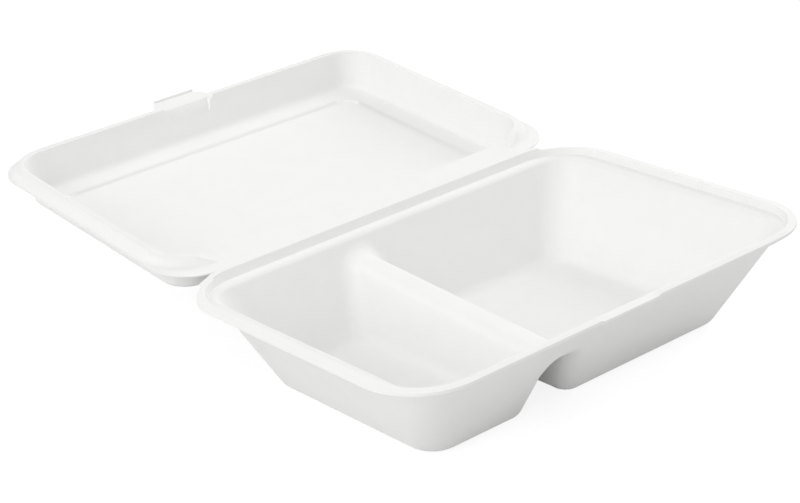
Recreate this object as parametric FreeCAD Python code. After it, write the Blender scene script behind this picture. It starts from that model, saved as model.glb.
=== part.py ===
"""Two-compartment clamshell food container, moulded from white fibre pulp, shown open.

The tray has two tapered wells with a hollow rib between them, and a stepped rim. The lid is a
shallow pan with a stepped panel, a raised ridge that nests in the tray's rim, and a tab in front.
Both halves meet at the living hinge, a flat web with a crease. Millimetres, +Z up. The crease runs
along X over the origin, the tray lies towards -Y and stands on Z = 0, the lid lies towards +Y.
"""
import FreeCAD, Part
import math
import os
from FreeCAD import Vector

# Tray, overall
TRAY_LENGTH = 240.0
TRAY_WIDTH = 165.0
TRAY_HEIGHT = 48.5
TRAY_WALL = 1.2
RIM_CORNER_RADIUS = 30.0

# Tray rim, from its outer edge inwards: a flange with a turned-down edge, a step and a ledge
FLANGE_SIDE = 5.0
FLANGE_FRONT = 3.0
FLANGE_BACK = 2.5
FLANGE_ROLL = 2.0
FLANGE_DROP = 0.8
STEP_RADIUS = 26.0
STEP_RUN = 1.0
STEP_DEPTH = 3.2
MOUTH_INSET_SIDE = 12.2
MOUTH_INSET_FRONT = 9.0
MOUTH_INSET_BACK = 8.5
CORNER_RADIUS = 15.0

# Tray wells: insets are from the rim's outer edge to the foot's sharp outer corner
FOOT_INSET_SIDE = 32.5
FOOT_INSET_FRONT = 32.6
FOOT_INSET_BACK = 23.5
FLOOR_FILLET = 6.0

# Rib between the wells: its crest falls from the hinge's side to the front
RIB_X = -23.9
RIB_GAP_AT_FLOOR = 21.0
RIB_LEAN = 0.157
RIB_DROP_BACK = 10.2
RIB_DROP_FRONT = 21.8
RIB_CREST_ROUNDING = 5.5
RIB_END_FILLET = 8.0

# Living hinge
HINGE_LENGTH = 210.0
HINGE_RISE = 1.0
HINGE_RAMP = 8.0

# Lid, from its outer edge inwards: a flat apron, a slope, a ridge and the pan
LID_WALL = 0.6
LID_OPEN_DEG = 6.2
LID_APRON_INSET_SIDE = 5.4
LID_APRON_INSET_FAR = 6.0
LID_APRON_RADIUS = 22.0
LID_SLOPE_INSET = 6.4
LID_SLOPE_RADIUS = 23.6
LID_SLOPE_RUN = 3.6
SEAT_GAP = 0.1
LID_RIDGE_WIDTH = 3.1
LID_DEPTH = 19.1
LID_WALL_LEAN = 4.5
LID_FILLET = 3.0
PANEL_BORDER = 11.0
PANEL_RADIUS = 8.0
PANEL_STEP = 1.5
PANEL_STEP_RUN = 1.5
WEB_OPENING_LENGTH = 176.0
WEB_OPENING_RAMP = 9.0

# Tab at the lid's far edge, the notch behind it, and the dip for it in the tray's front flange
TAB_X = -1.5
TAB_BASE_LENGTH = 34.0
TAB_END_LENGTH = 24.0
TAB_LEVEL = 2.0
TAB_GAP = 0.6
TAB_LIP_HEIGHT = 1.2
NOTCH_LENGTH = 28.0
NOTCH_RAMP = 1.5
POCKET_PUSH = 4.0
POCKET_DEPTH = 12.0
DIP_LENGTH = 32.0
DIP_RAMP = 3.0
DIP_GAP = 0.5

# Worked out from the sizes above
EDGE_Z = TRAY_HEIGHT - FLANGE_DROP
LEDGE_Z = TRAY_HEIGHT - STEP_DEPTH
HINGE_Z = TRAY_HEIGHT + HINGE_RISE
DIP_Z = HINGE_Z - TAB_LEVEL - DIP_GAP
LID_RIM = HINGE_RISE + STEP_DEPTH - SEAT_GAP
LID_RIM_Z = HINGE_Z + LID_RIM
LID_FLOOR_Z = LID_RIM_Z - LID_DEPTH
LID_CREST_INSET = LID_SLOPE_INSET + LID_SLOPE_RUN
LID_MOUTH_INSET = LID_CREST_INSET + LID_RIDGE_WIDTH
LID_MOUTH_RADIUS = LID_SLOPE_RADIUS - LID_SLOPE_RUN - LID_RIDGE_WIDTH
LID_FAR = TRAY_WIDTH - LID_APRON_INSET_FAR
LID_MOUTH_FAR = TRAY_WIDTH - LID_MOUTH_INSET
SPARE = 1.0
NEAR_ZERO = 0.001


def outline(side, front, back, radius, z, sign=-1.0):
    """Rounded rectangle inside the rim, by its insets; sign -1 is the tray, +1 the lid."""
    half_x = TRAY_LENGTH / 2 - side
    half_y = (TRAY_WIDTH - front - back) / 2
    middle = sign * (TRAY_WIDTH - front + back) / 2
    corner = radius * math.sqrt(0.5)
    arcs = []
    for sx, sy in ((1, 1), (-1, 1), (-1, -1), (1, -1)):
        cx = sx * (half_x - radius)
        cy = sy * (half_y - radius)
        beside_x = (cx + sx * radius, cy)
        beside_y = (cx, cy + sy * radius)
        first, last = (beside_x, beside_y) if sx == sy else (beside_y, beside_x)
        arcs.append((first, (cx + sx * corner, cy + sy * corner), last))
    edges = []
    for i, arc in enumerate(arcs):
        points = [Vector(x, middle + y, z) for x, y in arc]
        x, y = arcs[(i + 1) % 4][0]
        edges.append(Part.Arc(*points).toShape())
        edges.append(Part.LineSegment(points[2], Vector(x, middle + y, z)).toShape())
    return Part.Wire(edges)


def evenly(inset, radius, z, sign=-1.0):
    """Outline with the same inset on all four sides."""
    return outline(inset, inset, inset, radius, z, sign)


def stack(*wires):
    """Solid with straight sides from one outline to the next."""
    return Part.makeLoft(list(wires), True, True)


def prism(wire, height):
    return Part.Face(wire).extrude(Vector(0, 0, height))


def along_x(corners, half_length):
    """Bar along X, even on both sides of the middle, from its (y, z) section."""
    points = [Vector(-half_length, y, z) for y, z in corners + corners[:1]]
    return Part.Face(Part.makePolygon(points)).extrude(Vector(2 * half_length, 0, 0))


def along_y(corners, y_low, y_high):
    """Bar along Y from its (x, z) section."""
    points = [Vector(x, y_low, z) for x, z in corners + corners[:1]]
    return Part.Face(Part.makePolygon(points)).extrude(Vector(0, y_high - y_low, 0))


def bar(half_low, half_high, y_low, y_high, z_low, z_high, middle=0.0):
    """Bar between two heights, with sloping ends in X, even on both sides of the middle."""
    corners = [(middle - half_low, z_low), (middle + half_low, z_low),
               (middle + half_high, z_high), (middle - half_high, z_high)]
    return along_y(corners, y_low, y_high)


def tab_wedge(half_low, half_high, low_span, high_span, z_low, z_high):
    """Block behind the tab whose width and place in Y change from its low face to its high one."""
    wires = []
    for half, (near, far), z in ((half_low, low_span, z_low), (half_high, high_span, z_high)):
        corners = [(-half, near), (half, near), (half, far), (-half, far), (-half, near)]
        wires.append(Part.makePolygon([Vector(TAB_X + x, y, z) for x, y in corners]))
    return stack(*wires)


def edges_where(shape, test):
    return [edge for edge in shape.Edges if not edge.Degenerated and test(edge.BoundBox)]


def wall_line(foot, mouth, shift, floor):
    """Positions of a sloping wall at the floor and at the ledge, moved inwards by the shift."""
    across = shift * math.hypot(foot - mouth, LEDGE_Z) / LEDGE_Z
    at_mouth = mouth + across - TRAY_WALL * math.hypot(foot - mouth, LEDGE_Z) / LEDGE_Z
    at_foot = foot + across
    return at_foot + (at_mouth - at_foot) * floor / LEDGE_Z, at_mouth


def tray_wells(deeper):
    """What fills the wells: deeper is 0 for their outside and TRAY_WALL for their inside."""
    side_low, side_high = wall_line(FOOT_INSET_SIDE, MOUTH_INSET_SIDE, deeper, deeper)
    front_low, front_high = wall_line(FOOT_INSET_FRONT, MOUTH_INSET_FRONT, deeper, deeper)
    back_low, back_high = wall_line(FOOT_INSET_BACK, MOUTH_INSET_BACK, deeper, deeper)
    half = TRAY_LENGTH / 2
    lengthwise = bar(half - side_low, half - side_high, -TRAY_WIDTH, 0, deeper, LEDGE_Z)
    section = [(-back_low, deeper), (front_low - TRAY_WIDTH, deeper),
               (front_high - TRAY_WIDTH, LEDGE_Z), (-back_high, LEDGE_Z)]
    body = lengthwise.common(along_x(section, half))
    corner_edges = edges_where(body, lambda box: box.ZLength > LEDGE_Z / 2 and box.XLength > SPARE)
    body = body.makeFillet(CORNER_RADIUS + TRAY_WALL - deeper, corner_edges)
    crest_back = TRAY_HEIGHT - RIB_DROP_BACK - TRAY_WALL + deeper
    crest_front = TRAY_HEIGHT - RIB_DROP_FRONT - TRAY_WALL + deeper
    half_gap = RIB_GAP_AT_FLOOR / 2 + deeper * math.hypot(1, RIB_LEAN)
    low = half_gap + RIB_LEAN * SPARE
    high = half_gap - RIB_LEAN * crest_back
    corners = [(RIB_X - low, -SPARE), (RIB_X + low, -SPARE), (RIB_X + high, crest_back), (RIB_X - high, crest_back)]
    crest = along_x([(0, -SPARE), (-TRAY_WIDTH, -SPARE), (-TRAY_WIDTH, crest_front), (0, crest_back)], half)
    rib = along_y(corners, -TRAY_WIDTH, 0).common(crest)
    body = body.cut(rib)
    crest_edges = edges_where(body, lambda box: box.ZMin > crest_front - SPARE and box.ZMax < crest_back
                              and box.YLength > TRAY_WIDTH / 2)
    body = body.makeFillet(RIB_CREST_ROUNDING - TRAY_WALL + deeper, crest_edges)
    end_edges = edges_where(body, lambda box: box.XMin > RIB_X - low and box.XMax < RIB_X + low
                            and box.ZMax > deeper + SPARE and box.YLength < TRAY_WIDTH / 4 and box.ZMin < LEDGE_Z - SPARE)
    body = body.makeFillet(RIB_END_FILLET + TRAY_WALL - deeper, end_edges)
    floor_edges = edges_where(body, lambda box: box.ZMax < deeper + NEAR_ZERO)
    return body.makeFillet(FLOOR_FILLET + TRAY_WALL - deeper, floor_edges)


def skin(outer, inner, wall, radius, low, high, sign):
    """Sloping band with a flat top, as thick as the wall: it rises from low at its outer edge."""
    run = inner - outer
    rise = high - low
    shift = wall * (math.hypot(run, rise) - run) / rise
    plate = prism(evenly(outer, radius, low - wall, sign), wall)
    solid = plate.fuse(stack(evenly(outer, radius, low, sign), evenly(inner, radius - run, high, sign)))
    hollow = stack(evenly(outer + shift, radius - shift, low - wall, sign),
                   evenly(inner + shift, radius - run - shift, high - wall, sign))
    return solid, hollow


def flange_step(grow, z_low, z_high):
    """What fills the rim inside the step; grow widens it to all sides."""
    slope = STEP_RUN / STEP_DEPTH
    wires = []
    for z in (z_low, z_high):
        inset = (TRAY_HEIGHT - z) * slope - grow
        wires.append(outline(FLANGE_SIDE + inset, FLANGE_FRONT + inset, FLANGE_BACK + inset, STEP_RADIUS - inset, z))
    return stack(*wires)


def make_tray():
    flange, under_flange = skin(0, FLANGE_ROLL, TRAY_WALL, RIM_CORNER_RADIUS, EDGE_Z, TRAY_HEIGHT, -1.0)
    step = flange_step(TRAY_WALL, LEDGE_Z - TRAY_WALL, TRAY_HEIGHT - TRAY_WALL / 2)
    half = HINGE_LENGTH / 2
    plateau = bar(half, half - HINGE_RAMP, -FLANGE_BACK - STEP_RUN, 0, EDGE_Z - TRAY_WALL, HINGE_Z)
    under_plateau = bar(half - TRAY_WALL, half - HINGE_RAMP - TRAY_WALL, TRAY_WALL - FLANGE_BACK, 0,
                        EDGE_Z - TRAY_WALL - SPARE, HINGE_Z - TRAY_WALL)
    dip = DIP_LENGTH / 2
    dip_end = FLANGE_FRONT + STEP_RUN - TRAY_WIDTH
    dip_sheet = bar(dip + TRAY_WALL, dip + TRAY_WALL + DIP_RAMP, -TRAY_WIDTH, dip_end,
                    DIP_Z - TRAY_WALL, EDGE_Z - TRAY_WALL / 2, TAB_X)
    outside = flange.cut(under_flange).fuse([step, plateau, dip_sheet, tray_wells(0.0)])
    recess = flange_step(0.0, LEDGE_Z, HINGE_Z + SPARE)
    dip_gap = bar(dip, dip + DIP_RAMP, -TRAY_WIDTH - SPARE, dip_end, DIP_Z, TRAY_HEIGHT + NEAR_ZERO, TAB_X)
    return outside.cut([recess, under_plateau, dip_gap, tray_wells(TRAY_WALL)])


def lid_pan(deeper):
    """What fills the lid: deeper is LID_WALL for the outside of its wall and 0 for the inside."""
    floor = LID_FLOOR_Z - deeper
    foot = LID_MOUTH_INSET + LID_WALL_LEAN
    foot_radius = LID_MOUTH_RADIUS - LID_WALL_LEAN
    pan = stack(evenly(foot - deeper, foot_radius + deeper, floor, 1.0),
                evenly(LID_MOUTH_INSET - deeper, LID_MOUTH_RADIUS + deeper, LID_RIM_Z, 1.0))
    foot_edges = edges_where(pan, lambda box: box.ZMax < floor + NEAR_ZERO)
    pan = pan.makeFillet(LID_FILLET + deeper, foot_edges)
    border = foot + PANEL_BORDER - deeper
    radius = PANEL_RADIUS + deeper
    panel = stack(evenly(border + PANEL_STEP_RUN, radius, floor - PANEL_STEP, 1.0),
                  evenly(border, radius + PANEL_STEP_RUN, floor, 1.0))
    above = prism(evenly(border, radius + PANEL_STEP_RUN, floor, 1.0), LID_FILLET)
    return pan.fuse([panel, above])


def make_lid():
    """Built flat, level with the hinge, and then turned up by the angle that it stands open at."""
    low = HINGE_Z - LID_WALL
    ridge, under_ridge = skin(LID_SLOPE_INSET, LID_CREST_INSET, LID_WALL, LID_SLOPE_RADIUS, HINGE_Z, LID_RIM_Z, 1.0)
    apron = prism(outline(LID_APRON_INSET_SIDE, LID_APRON_INSET_FAR, 0, LID_APRON_RADIUS, low, 1.0), LID_WALL)
    opening_slope = WEB_OPENING_RAMP / LID_RIM
    half = WEB_OPENING_LENGTH / 2
    pan_near = LID_MOUTH_INSET + LID_WALL
    web_block = bar(half + LID_WALL, half + WEB_OPENING_RAMP + LID_WALL, 0, pan_near, low, LID_RIM_Z).common(ridge)
    web_opening = bar(half, half + WEB_OPENING_RAMP + opening_slope * SPARE, -SPARE, pan_near + LID_WALL_LEAN,
                      HINGE_Z, LID_RIM_Z + SPARE)
    tab_z = HINGE_Z + TAB_LEVEL
    notch = NOTCH_LENGTH / 2
    notch_block = bar(notch + NOTCH_RAMP + LID_WALL, notch + NOTCH_RAMP + LID_WALL, LID_MOUTH_FAR - LID_WALL, LID_FAR,
                      low, LID_RIM_Z, TAB_X).common(ridge)
    notch_gap = bar(notch, notch + NOTCH_RAMP, LID_MOUTH_FAR - LID_WALL_LEAN, LID_FAR + SPARE, tab_z, LID_RIM_Z + NEAR_ZERO, TAB_X)
    pocket_z = LID_RIM_Z - POCKET_DEPTH
    pocket_back = LID_MOUTH_FAR - LID_WALL_LEAN
    pocket = tab_wedge(notch - POCKET_PUSH, notch, (pocket_back - SPARE, pocket_back),
                   (pocket_back - SPARE, LID_MOUTH_FAR + POCKET_PUSH), pocket_z, LID_RIM_Z)
    bulge = tab_wedge(notch - POCKET_PUSH + LID_WALL, notch + LID_WALL, (pocket_back, pocket_back + LID_WALL),
                  (pocket_back, LID_MOUTH_FAR + POCKET_PUSH + LID_WALL), pocket_z - LID_WALL, LID_RIM_Z).common(
                      bar(notch + SPARE, notch + SPARE, 0, LID_FAR, pocket_z - LID_WALL, tab_z, TAB_X))
    tab_end = TRAY_WIDTH + TAB_GAP + LID_WALL
    base_half = TAB_BASE_LENGTH / 2
    end_half = TAB_END_LENGTH / 2
    slope_far = TRAY_WIDTH - LID_CREST_INSET
    tab_plan = [(-base_half, slope_far), (base_half, slope_far), (base_half, LID_FAR), (end_half, tab_end),
                (-end_half, tab_end), (-base_half, LID_FAR), (-base_half, slope_far)]
    tab = prism(Part.makePolygon([Vector(TAB_X + x, y, tab_z - LID_WALL) for x, y in tab_plan]), LID_WALL)
    tab_foot = bar(base_half, base_half, slope_far, LID_FAR, low, tab_z, TAB_X)
    lip = bar(end_half, end_half, tab_end - LID_WALL, tab_end, tab_z - LID_WALL, tab_z + TAB_LIP_HEIGHT, TAB_X)
    outside = ridge.fuse(apron).cut(under_ridge)
    outside = outside.fuse([lid_pan(LID_WALL), web_block, notch_block, bulge, tab, tab_foot, lip])
    lid = outside.cut([lid_pan(0.0), web_opening, notch_gap, pocket])
    lid.rotate(Vector(0, 0, HINGE_Z), Vector(1, 0, 0), LID_OPEN_DEG)
    return lid


PARTS = {"tray": make_tray, "lid": make_lid}

os.makedirs("parts", exist_ok=True)
for name, make in PARTS.items():
    shape = make()
    print(name, shape.isValid(), len(shape.Solids), round(shape.Volume), shape.BoundBox)
    shape.exportStep("parts/" + name + ".step")
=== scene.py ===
"""Looks of the clamshell food container: moulded white fibre pulp, open on a pale floor."""
import math
import bmesh
import bpy
from mathutils import Matrix, Vector


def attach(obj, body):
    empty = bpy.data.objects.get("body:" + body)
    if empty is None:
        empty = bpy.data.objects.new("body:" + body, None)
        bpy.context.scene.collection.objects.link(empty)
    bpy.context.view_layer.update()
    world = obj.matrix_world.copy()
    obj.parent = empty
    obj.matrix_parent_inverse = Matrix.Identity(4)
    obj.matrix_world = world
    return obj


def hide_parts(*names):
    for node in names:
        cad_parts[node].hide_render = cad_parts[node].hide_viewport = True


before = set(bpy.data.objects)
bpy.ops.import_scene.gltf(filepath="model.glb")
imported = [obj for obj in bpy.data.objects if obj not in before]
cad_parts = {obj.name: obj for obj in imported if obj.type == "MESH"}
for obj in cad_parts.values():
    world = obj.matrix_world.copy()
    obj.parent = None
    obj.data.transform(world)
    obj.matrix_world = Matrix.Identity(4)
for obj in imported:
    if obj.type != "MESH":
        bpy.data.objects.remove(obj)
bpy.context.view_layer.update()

MM = 0.001
IMAGE_WIDTH_PX = 800

# Camera, matched to the photograph: angles in degrees, lengths in metres
CAMERA_YAW = 37.91
CAMERA_PITCH = 23.07
CAMERA_ROLL = -5.34
CAMERA_DISTANCE = 1.02472
CAMERA_SIDEWAYS = 0.00488
CAMERA_UPWARDS = 0.02462
FOCAL_PX = 2155.0
SENSOR_MM = 36.0
NEAREST_SEEN = 10 * MM

# Meshes. The tray's points are merged further, or its shortest edges would hold back the lip's rounding
TRAY_MERGE = 0.1 * MM
LID_MERGE = 0.004 * MM
WELD_DISTANCE = 0.01 * MM
SMOOTH_ANGLE = math.radians(50)
SHARP_ANGLE = math.radians(30)
FLAT_ANGLE = math.radians(0.5)
WIDE_FACE = 4.2 * MM
MOUTH_LENGTH = 500 * MM
BEVEL_SEGMENTS = 3
TRAY_LIP = 2.0 * MM

# Pulp
PULP_SHADE = (0.862, 0.864, 0.855)
PULP_LIGHT = (0.879, 0.881, 0.873)
PULP_ROUGHNESS = 0.72
PULP_SPECULAR = 0.35
FIBRE_SCALE, FIBRE_DETAIL = 1400, 3
CLOUD_SCALE, CLOUD_DETAIL = 90, 4
NOISE_ROUGHNESS = 0.6
CLOUD_SHARE = 0.55
SHADE_AT = 0.35
LIGHT_AT = 0.65
BUMP_STRENGTH = 0.25
BUMP_HEIGHT = 0.08 * MM

# Floor and lamps: place, size in metres, watts
FLOOR_SIZE = 6.0
FLOOR_ROUGHNESS = 0.9
FLOOR_COLOUR = (0.82, 0.82, 0.82)
FLOOR_SHADOW = (0.25, 0.25, 0.25)
FLOOR_GLOW = 0.84
AMBIENT = 0.54
LAMPS = {
    "overhead": ((0, 0, 1.5), 1.4, 3.4),
    "left": ((-1.4, 0, 0.8), 1.2, 9.0),
    "right": ((1.4, 0.1, 0.8), 1.2, 11.4),
    "front_left": ((-0.9, -1.1, 0.8), 1.2, 2.6),
}


def camera():
    """Looks from the photograph's side, turned and shifted until the outlines agreed."""
    yaw, pitch, roll = (math.radians(a) for a in (CAMERA_YAW, CAMERA_PITCH, CAMERA_ROLL))
    ahead = Vector((math.sin(yaw) * math.cos(pitch), math.cos(yaw) * math.cos(pitch), -math.sin(pitch)))
    level = Vector((math.cos(yaw), -math.sin(yaw), 0))
    upright = level.cross(ahead)
    right = level * math.cos(roll) + upright * math.sin(roll)
    up = upright * math.cos(roll) - level * math.sin(roll)
    place = right * CAMERA_SIDEWAYS + up * CAMERA_UPWARDS - ahead * CAMERA_DISTANCE
    data = bpy.data.cameras.new("camera")
    data.sensor_width = SENSOR_MM
    data.lens = FOCAL_PX / IMAGE_WIDTH_PX * SENSOR_MM
    data.clip_start = NEAREST_SEEN
    made = bpy.data.objects.new("camera", data)
    made.matrix_world = Matrix.Translation(place) @ Matrix((right, up, -ahead)).transposed().to_4x4()
    bpy.context.scene.collection.objects.link(made)
    bpy.context.scene.camera = made


def area_light(name, place, size, watts):
    """A square lamp that points at the middle of the hinge, on the floor."""
    data = bpy.data.lights.new(name, "AREA")
    data.size = size
    data.energy = watts
    made = bpy.data.objects.new(name, data)
    made.location = place
    made.rotation_euler = (-Vector(place)).to_track_quat("-Z", "Y").to_euler()
    bpy.context.scene.collection.objects.link(made)


def new_material(name):
    made = bpy.data.materials.new(name)
    made.use_nodes = True
    nodes = made.node_tree.nodes
    nodes.clear()
    out = nodes.new("ShaderNodeOutputMaterial")
    shader = nodes.new("ShaderNodeBsdfPrincipled")
    made.node_tree.links.new(shader.outputs["BSDF"], out.inputs["Surface"])
    return made, nodes, made.node_tree.links, shader


def pulp_material():
    """Matte white pulp: fine fibres and faint clouds, in its colour and as a shallow relief."""
    made, nodes, links, shader = new_material("white_fibre_pulp")
    place = nodes.new("ShaderNodeTexCoord").outputs["Object"]

    def texture(scale, detail):
        node = nodes.new("ShaderNodeTexNoise")
        node.inputs["Scale"].default_value = scale
        node.inputs["Detail"].default_value = detail
        node.inputs["Roughness"].default_value = NOISE_ROUGHNESS
        links.new(place, node.inputs["Vector"])
        return node.outputs["Fac"]

    fibres = texture(FIBRE_SCALE, FIBRE_DETAIL)
    clouds = texture(CLOUD_SCALE, CLOUD_DETAIL)
    blend = nodes.new("ShaderNodeMix")
    blend.inputs[0].default_value = CLOUD_SHARE
    links.new(fibres, blend.inputs[2])
    links.new(clouds, blend.inputs[3])
    ramp = nodes.new("ShaderNodeValToRGB")
    ramp.color_ramp.elements[0].position = SHADE_AT
    ramp.color_ramp.elements[0].color = (*PULP_SHADE, 1)
    ramp.color_ramp.elements[1].position = LIGHT_AT
    ramp.color_ramp.elements[1].color = (*PULP_LIGHT, 1)
    links.new(blend.outputs[0], ramp.inputs["Fac"])
    links.new(ramp.outputs["Color"], shader.inputs["Base Color"])
    shader.inputs["Roughness"].default_value = PULP_ROUGHNESS
    shader.inputs["Specular IOR Level"].default_value = PULP_SPECULAR
    bump = nodes.new("ShaderNodeBump")
    bump.inputs["Strength"].default_value = BUMP_STRENGTH
    bump.inputs["Distance"].default_value = BUMP_HEIGHT
    links.new(blend.outputs[0], bump.inputs["Height"])
    links.new(bump.outputs["Normal"], shader.inputs["Normal"])
    return made


def lips(shell):
    """The edges where two wide faces meet, such as the mouths of the wells."""
    return [edge for edge in shell.edges
            if len(edge.link_faces) == 2 and edge.calc_face_angle(0) >= SHARP_ANGLE
            and min(narrowness(face, edge) for face in edge.link_faces) >= WIDE_FACE]


def chains(edges):
    """The edges in connected groups, so that one short edge limits only its own group's rounding."""
    left = {edge.index: edge for edge in edges}
    groups = []
    while left:
        group, queue = [], [left.pop(min(left))]
        while queue:
            edge = queue.pop()
            group.append(edge)
            for vert in edge.verts:
                queue.extend(left.pop(other.index) for other in vert.link_edges if other.index in left)
        groups.append(group)
    return groups


def narrowness(face, edge):
    """How far the face reaches from the edge, measured square to it."""
    along = (edge.verts[1].co - edge.verts[0].co).normalized()
    start = edge.verts[0].co
    reach = 0.0
    for vert in face.verts:
        offset = vert.co - start
        reach = max(reach, (offset - along * offset.dot(along)).length)
    return reach


def moulded_skin(name, node, body, material, merge_distance, lip_radius):
    """The CAD node's own surface as one clean mesh, with its lips rounded where a radius is given."""
    shell = bmesh.new()
    shell.from_mesh(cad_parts[node].data)
    bmesh.ops.remove_doubles(shell, verts=shell.verts, dist=merge_distance)
    bmesh.ops.dissolve_limit(shell, angle_limit=FLAT_ANGLE, verts=shell.verts, edges=shell.edges)
    if lip_radius:
        shell.edges.index_update()
        long_chains = [chain for chain in chains(lips(shell))
                       if sum(edge.calc_length() for edge in chain) >= MOUTH_LENGTH]
        for chain in long_chains:
            bmesh.ops.bevel(shell, geom=chain, offset=lip_radius, offset_type="OFFSET",
                            segments=BEVEL_SEGMENTS, profile=0.5, affect="EDGES",
                            clamp_overlap=True, material=-1)
    bmesh.ops.remove_doubles(shell, verts=shell.verts, dist=WELD_DISTANCE)
    bmesh.ops.dissolve_degenerate(shell, edges=shell.edges, dist=WELD_DISTANCE)
    bmesh.ops.triangulate(shell, faces=[face for face in shell.faces if len(face.verts) > 4])
    for face in shell.faces:
        face.smooth = True
    for edge in shell.edges:
        if len(edge.link_faces) == 2:
            edge.smooth = edge.calc_face_angle(math.pi) < SMOOTH_ANGLE
    mesh = bpy.data.meshes.new(name)
    shell.to_mesh(mesh)
    shell.free()
    mesh.materials.append(material)
    made = bpy.data.objects.new(name, mesh)
    bpy.context.scene.collection.objects.link(made)
    weighted = made.modifiers.new("weighted", "WEIGHTED_NORMAL")
    weighted.keep_sharp = True
    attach(made, body)
    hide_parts(node)
    return made


def seen_directly(nodes, links):
    """1 where the camera, a reflection or glass shows the surface, 0 where it only lights others."""
    path = nodes.new("ShaderNodeLightPath")
    total = path.outputs["Is Camera Ray"]
    for kind in ("Is Glossy Ray", "Is Transmission Ray"):
        add = nodes.new("ShaderNodeMath")
        add.operation = "ADD"
        add.use_clamp = True
        links.new(total, add.inputs[0])
        links.new(path.outputs[kind], add.inputs[1])
        total = add.outputs[0]
    return total


def floor():
    """Pale floor that lights the object as it is, and shows almost white with a faint shadow."""
    mesh = bpy.data.meshes.new("floor")
    plane = bmesh.new()
    bmesh.ops.create_grid(plane, x_segments=1, y_segments=1, size=FLOOR_SIZE)
    plane.to_mesh(mesh)
    plane.free()
    made = bpy.data.objects.new("floor", mesh)
    bpy.context.scene.collection.objects.link(made)
    material, nodes, links, shader = new_material("pale_floor")
    shader.inputs["Base Color"].default_value = (*FLOOR_COLOUR, 1)
    shader.inputs["Roughness"].default_value = FLOOR_ROUGHNESS
    faint = nodes.new("ShaderNodeBsdfDiffuse")
    faint.inputs["Color"].default_value = (*FLOOR_SHADOW, 1)
    white = nodes.new("ShaderNodeEmission")
    white.inputs["Strength"].default_value = FLOOR_GLOW
    shown = nodes.new("ShaderNodeAddShader")
    links.new(faint.outputs[0], shown.inputs[0])
    links.new(white.outputs[0], shown.inputs[1])
    choice = nodes.new("ShaderNodeMixShader")
    links.new(seen_directly(nodes, links), choice.inputs[0])
    links.new(shader.outputs["BSDF"], choice.inputs[1])
    links.new(shown.outputs[0], choice.inputs[2])
    out = next(node for node in nodes if node.type == "OUTPUT_MATERIAL")
    links.new(choice.outputs[0], out.inputs["Surface"])
    mesh.materials.append(material)


def light():
    """Soft studio light: an even surround, seen as white, and four large lamps."""
    world = bpy.data.worlds.new("studio")
    world.use_nodes = True
    nodes, links = world.node_tree.nodes, world.node_tree.links
    ambient = nodes["Background"]
    ambient.inputs["Strength"].default_value = AMBIENT
    backdrop = nodes.new("ShaderNodeBackground")
    for background in (ambient, backdrop):
        background.inputs["Color"].default_value = (1, 1, 1, 1)
    choice = nodes.new("ShaderNodeMixShader")
    links.new(seen_directly(nodes, links), choice.inputs[0])
    links.new(ambient.outputs[0], choice.inputs[1])
    links.new(backdrop.outputs[0], choice.inputs[2])
    links.new(choice.outputs[0], nodes["World Output"].inputs["Surface"])
    bpy.context.scene.world = world
    for name, (place, size, watts) in LAMPS.items():
        area_light(name, place, size, watts)


pulp = pulp_material()
moulded_skin("tray_moulding", "tray", "tray", pulp, TRAY_MERGE, TRAY_LIP)
moulded_skin("lid_moulding", "lid", "lid", pulp, LID_MERGE, 0)
floor()
light()
camera()
bpy.context.scene.view_settings.view_transform = "Standard"
